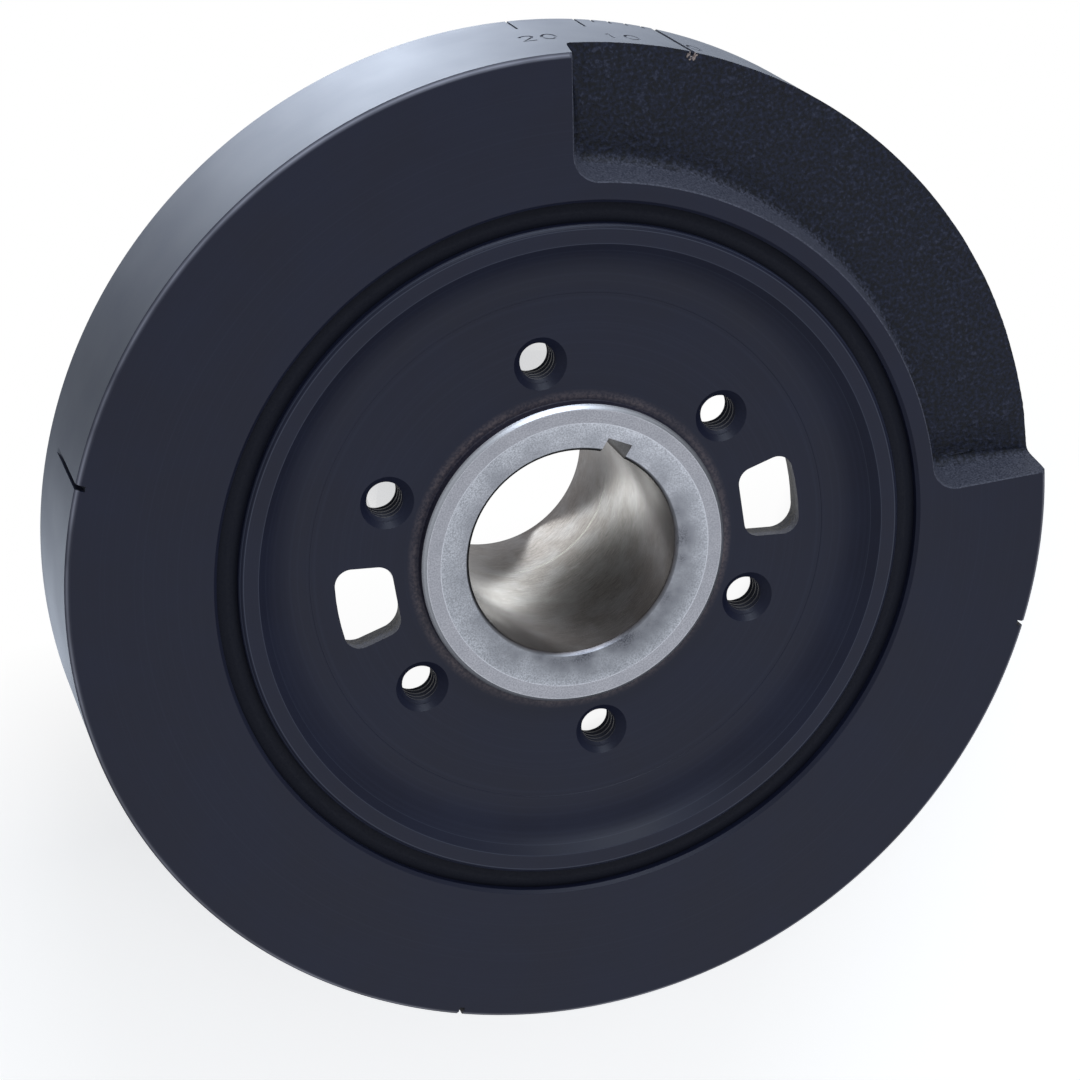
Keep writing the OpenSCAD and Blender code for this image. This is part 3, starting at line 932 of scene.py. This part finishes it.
def ring_finish(radius, height, degrees):
    """1 for the cast pocket, 0 for turned faces."""
    off_middle = abs(degrees - POCKET_DIR)
    inside = POCKET_INNER_R - 0.3 < radius < RING_R - HAIR and off_middle < POCKET_SPAN / 2 + 0.5
    return 1 if inside and POCKET_FLOOR_Z - 1 < height < FACE_Z - HAIR else 0


dress(hub, (enamel, iron, sandy), hub_finish)
dress(ring, (enamel, sandy), ring_finish)
dress(rubber, (rubber_skin,), lambda radius, height, degrees: 0)
for piece, node, slot in ((hub, "hub", "hub"), (ring, "inertia_ring", "ring"),
                          (rubber, "rubber_ring", "rubber")):
    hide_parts(node)
    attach(piece, "root")
    print(piece.name, "stands for", node)

# %% [markdown]
# ## Floor
# The floor is plain white paper. A camera ray sees it as an even white, through the bore and the
# holes too, because there the paper glows and hides its own shading. The glow gives way to the
# shading in two places: towards -Y, where the part's shadow falls, and in a narrow ring round the
# sleeve's foot. Glossy rays meet white paper close to the sleeve, so that the bare iron shows it,
# and a dimmer floor further out.

# %% Floor
FLOOR_HALF = 1500.0
SHADOW_Y_NEAR = -15.0
SHADOW_Y_FAR = -60.0
HOLES_REACH_R = 65.0
HOLES_SHADE = 0.15
FOOT_R = 30.5
FAR_R = 250.0
PAPER_LEVEL = 0.60
LAMP_R = 10.0
MIRRORED_NEAR_R = 70.0
MIRRORED_NEAR = 0.9
MIRRORED_FAR_R = 90.0
MIRRORED_FAR = 0.3

floor_mesh = bmesh.new()
bmesh.ops.create_grid(floor_mesh, x_segments=1, y_segments=1, size=FLOOR_HALF * MM)
floor_piece = make_object("floor", floor_mesh)
paper, tree = new_material("white_floor")
spot, away, ringed, height = around_bore(tree)
place = add(tree, "SeparateXYZ", {"Vector": spot})
ray = add(tree, "LightPath", {})
seen = ray.outputs["Is Camera Ray"]
mirrored = ray.outputs["Is Glossy Ray"]

shaded = add(tree, "MapRange", {0: place.outputs["Y"], 1: SHADOW_Y_NEAR * MM, 2: SHADOW_Y_FAR * MM})
holes = add(tree, "MapRange", {0: away, 1: HOLES_REACH_R * MM, 2: (HOLES_REACH_R + 10) * MM,
                               3: HOLES_SHADE, 4: 1.0})
far = add(tree, "MapRange", {0: away, 1: FAR_R * MM, 2: 2 * FAR_R * MM, 3: 1.0, 4: 0.0})
for mask in (holes, far):
    shaded = add(tree, "Math", {0: shaded, 1: mask}, operation="MULTIPLY")
foot = add(tree, "MapRange", {0: away, 1: SEAL_R * MM, 2: FOOT_R * MM, 3: 1.0, 4: 0.0})
past_bore = add(tree, "MapRange", {0: away, 1: (BORE_R + 1) * MM, 2: (BORE_R + 2) * MM})
foot = add(tree, "Math", {0: foot, 1: past_bore}, operation="MULTIPLY")
shaded = add(tree, "Math", {0: shaded, 1: foot}, operation="MAXIMUM")

# %% What each kind of ray meets on the floor
past_lamp = add(tree, "MapRange", {0: away, 1: LAMP_R * MM, 2: (LAMP_R + 8) * MM})
mirrored = add(tree, "Math", {0: mirrored, 1: past_lamp}, operation="MULTIPLY")
even = add(tree, "Math", {0: 1.0, 1: shaded}, operation="SUBTRACT")
even = add(tree, "Math", {0: seen, 1: even}, operation="MULTIPLY")
even = add(tree, "Math", {0: even, 1: mirrored}, operation="MAXIMUM")
matt = add(tree, "BsdfDiffuse", {"Color": over(tree, linear("#FFFCF5"), "#000000", even)})

seen_glow = add(tree, "MapRange", {0: shaded, 3: 1.0, 4: 1.0 - PAPER_LEVEL})
seen_glow = add(tree, "Math", {0: seen, 1: seen_glow}, operation="MULTIPLY")
mirrored_glow = add(tree, "MapRange", {0: away, 1: MIRRORED_NEAR_R * MM, 2: MIRRORED_FAR_R * MM,
                                       3: MIRRORED_NEAR, 4: MIRRORED_FAR})
mirrored_glow = add(tree, "Math", {0: mirrored, 1: mirrored_glow}, operation="MULTIPLY")
strength = add(tree, "Math", {0: seen_glow, 1: mirrored_glow}, operation="ADD")
glow = add(tree, "Emission", {"Color": linear("#FFFFFF"), "Strength": strength})
both = add(tree, "AddShader", {0: matt, 1: glow})
add(tree, "OutputMaterial", {"Surface": both})
floor_piece.data.materials.append(paper)
print("the paper glows for the camera, but not below y =", SHADOW_Y_FAR, "mm")

# %% [markdown]
# ## Light
# A studio lights dark satin paint with large soft boxes, because the paint shows what it mirrors
# more than its own colour. One box stands at the picture's top and throws the shadow. One is
# mirrored by the flat faces. A curved card of light lies on the floor round a part of the rim,
# where only the rim mirrors it. It is bright in one place and fades to both sides, as a lit
# backdrop does. A small lamp under the bore stands for the light that falls through it.

# %% Sky and soft boxes
SKY_STRENGTH = 0.5
COOL = "#E4EFFF"

world = bpy.data.worlds.new("sky")
world.use_nodes = True
tree = world.node_tree
tree.nodes.clear()
sky = add(tree, "Background", {"Color": linear("#EEF4FF"), "Strength": SKY_STRENGTH})
white = add(tree, "Background", {"Color": linear("#FFFFFF"), "Strength": 1.0})
seen = add(tree, "LightPath", {}).outputs["Is Camera Ray"]
choice = add(tree, "MixShader", {0: seen, 1: sky, 2: white})
add(tree, "OutputWorld", {"Surface": choice})
bpy.context.scene.world = world


def soft_box(name, place, aim, width, length, radiance, colour=COOL):
    """Add a rectangular lamp of one brightness at a place in millimetres, facing another."""
    data = bpy.data.lights.new(name, "AREA")
    data.shape = "RECTANGLE"
    data.size = width * MM
    data.size_y = length * MM
    data.energy = radiance * math.pi * width * length * MM ** 2
    data.color = linear(colour)[:3]
    lamp = bpy.data.objects.new(name, data)
    lamp.location = Vector(place) * MM
    lamp.rotation_mode = "QUATERNION"
    lamp.rotation_quaternion = (Vector(place) - Vector(aim)).to_track_quat("Z", "Y")
    lamp.visible_camera = False
    bpy.context.scene.collection.objects.link(lamp)
    return lamp


soft_box("top_box", (190, 770, 430), (0, 0, 50), 500, 420, 4.4)
soft_box("face_box", (130, -410, 780), (0, 0, 60), 800, 800, 0.66, "#F3F6FF")
bore_lamp = soft_box("bore_lamp", (6.3, -12.5, 1), (6.3, -12.5, 50), 7, 10, 2.9, "#F5F8F4")
bore_lamp.data.shape = "ELLIPSE"

# %% Light card round the rim
CARD_INNER_R = RING_R + 2
CARD_OUTER_R = 200
CARD_Z = 1.0
CARD_PEAK = 7.5
CARD_STOPS = ((40, 1.1), (48, 1.4), (57, 1.7), (66, 2.4), (76, 3.2), (85, 5.6), (95, 7.4), (104, 6.6),
              (114, 4.6), (123, 2.8), (133, 1.6), (143, 1.0), (152, 0.7), (161, 0.8), (171, 1.4),
              (180, 2.0), (190, 2.4), (198, 1.5), (206, 0.4))

card_mesh = bmesh.new()
ends = [card_mesh.verts.new(polar(r, CARD_STOPS[0][0], CARD_Z)) for r in (CARD_INNER_R, CARD_OUTER_R)]
card_mesh.edges.new(ends)
bmesh.ops.spin(card_mesh, geom=card_mesh.verts[:] + card_mesh.edges[:], cent=(0, 0, 0), axis=(0, 0, 1),
               angle=math.radians(CARD_STOPS[-1][0] - CARD_STOPS[0][0]), steps=83, use_merge=False)
for face in card_mesh.faces:
    face.normal_update()
    if face.normal.z < 0:
        face.normal_flip()
light_card = make_object("light_card", card_mesh)
light_card.visible_camera = False
light_card.visible_diffuse = False
light_card.visible_shadow = False
card_glow, tree = new_material("card_of_light")
place = add(tree, "SeparateXYZ", {"Vector": add(tree, "TexCoord", {}).outputs["Object"]})
backwards = add(tree, "Math", {0: place.outputs["X"], 1: -1.0}, operation="MULTIPLY")
turn = add(tree, "Math", {0: place.outputs["Y"], 1: backwards}, operation="ARCTAN2")
first, last = CARD_STOPS[0][0], CARD_STOPS[-1][0]
share = add(tree, "MapRange", {0: turn, 1: math.radians(180 - first), 2: math.radians(180 - last)})
ramp = add(tree, "ValToRGB", {"Fac": share})
stops = ramp.color_ramp.elements
for degrees, radiance in CARD_STOPS:
    share = (degrees - first) / (last - first)
    stop = stops[0] if share == 0 else stops[-1] if share == 1 else stops.new(share)
    stop.color = (*[radiance / CARD_PEAK] * 3, 1)
strength = add(tree, "Math", {0: ramp, 1: CARD_PEAK}, operation="MULTIPLY")
behind = add(tree, "NewGeometry", {}).outputs["Backfacing"]
front = add(tree, "Math", {0: 1.0, 1: behind}, operation="SUBTRACT")
strength = add(tree, "Math", {0: strength, 1: front}, operation="MULTIPLY")
shine = add(tree, "Emission", {"Color": linear(COOL), "Strength": strength})
add(tree, "OutputMaterial", {"Surface": shine})
light_card.data.materials.append(card_glow)
print("light card from", CARD_STOPS[0][0], "to", CARD_STOPS[-1][0], "degrees")

# %% Measures and finish
bpy.context.scene.view_settings.view_transform = "Standard"
for piece in (hub, ring, rubber):
    piece.data.calc_loop_triangles()
    print(piece.name, len(piece.data.loop_triangles), "triangles")
